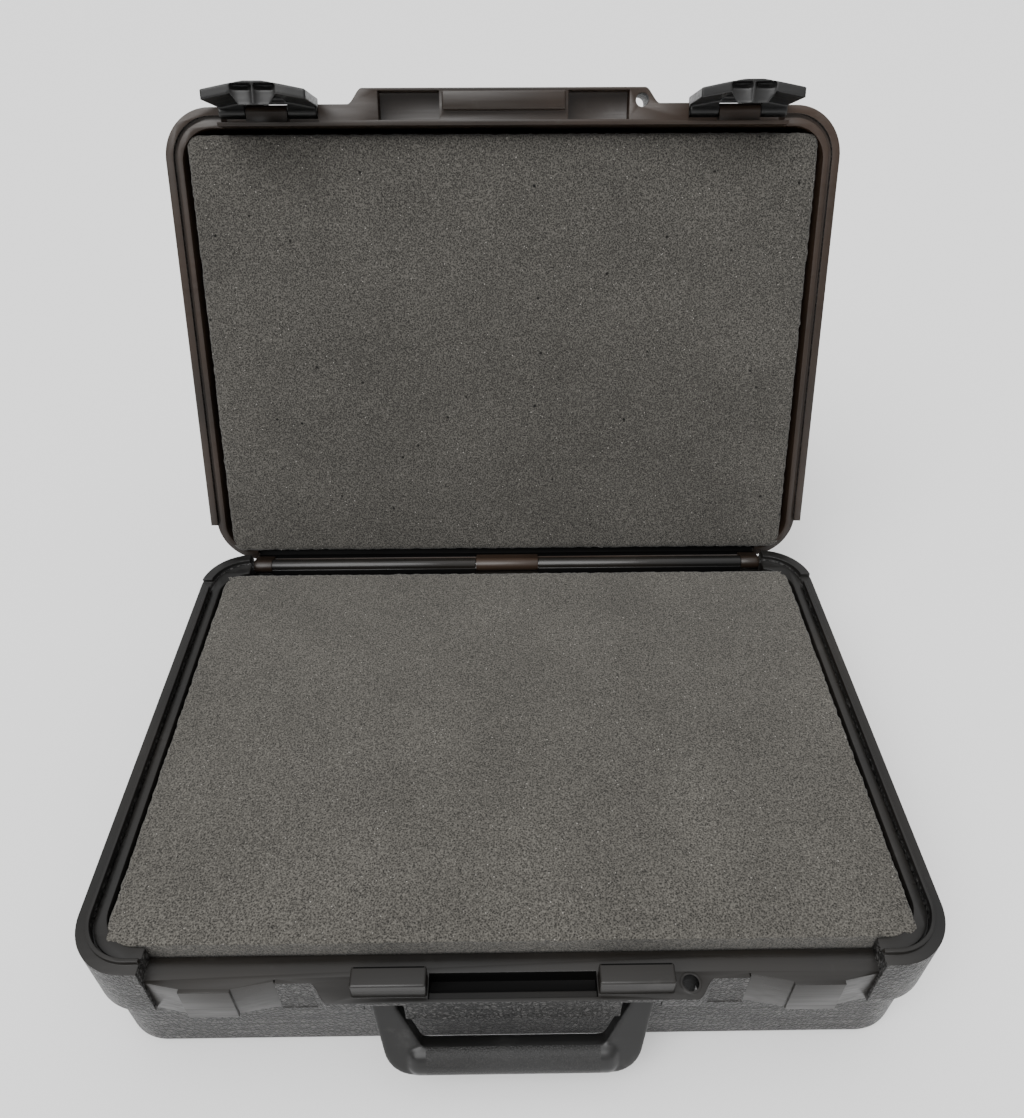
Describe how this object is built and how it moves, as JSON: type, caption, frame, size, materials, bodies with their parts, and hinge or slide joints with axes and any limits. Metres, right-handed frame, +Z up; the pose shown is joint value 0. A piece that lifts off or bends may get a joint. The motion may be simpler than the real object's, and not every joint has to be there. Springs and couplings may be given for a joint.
{
  "type": "hard carrying case",
  "caption": "Black blow-moulded plastic carrying case with foam in both halves, two snap latches, a swinging carry handle and a lid open on a long rear hinge.",
  "frame": {"origin": "centre of the case's underside, on the table", "axes": "+Z up, -Y towards the handle and latches, +X to the right seen from the handle side; the lid stands open at rest"},
  "size_m": [0.46, 0.5119, 0.4108],
  "materials": {
    "shell_plastic": "pebble grain outside, satin inside",
    "fitting_plastic": "satin",
    "foam": "open-cell foam",
    "pin_steel": "plain"
  },
  "bodies": {
    "base": {"base_shell": "shell_plastic", "base_foam": "foam", "hinge_pin_left": "pin_steel", "hinge_pin_right": "pin_steel", "handle_pin_left": "pin_steel", "handle_pin_right": "pin_steel"},
    "lid": {"lid_shell": "shell_plastic", "lid_foam": "foam", "latch_pin_left": "pin_steel", "latch_pin_right": "pin_steel"},
    "latch_left": {"latch_left": "fitting_plastic"},
    "latch_right": {"latch_right": "fitting_plastic"},
    "handle": {"carry_handle": "fitting_plastic"}
  },
  "joints": [
    {"name": "lid_hinge", "type": "hinge", "parent": "base", "child": "lid", "pos_m": [0, 0.1613, 0.0846], "axis": [1, 0, 0], "range_deg": [0, 110.26]},
    {"name": "latch_left_hinge", "type": "hinge", "parent": "lid", "child": "latch_left", "pos_m": [-0.1565, 0.27558, 0.38438], "axis": [-1, 0, 0], "range_deg": [0, 100]},
    {"name": "latch_right_hinge", "type": "hinge", "parent": "lid", "child": "latch_right", "pos_m": [0.1565, 0.27558, 0.38438], "axis": [-1, 0, 0], "range_deg": [0, 100]},
    {"name": "handle_pivot", "type": "hinge", "parent": "base", "child": "handle", "pos_m": [0, -0.159, 0.068], "axis": [-1, 0, 0], "range_deg": [0, 60]}
  ]
}
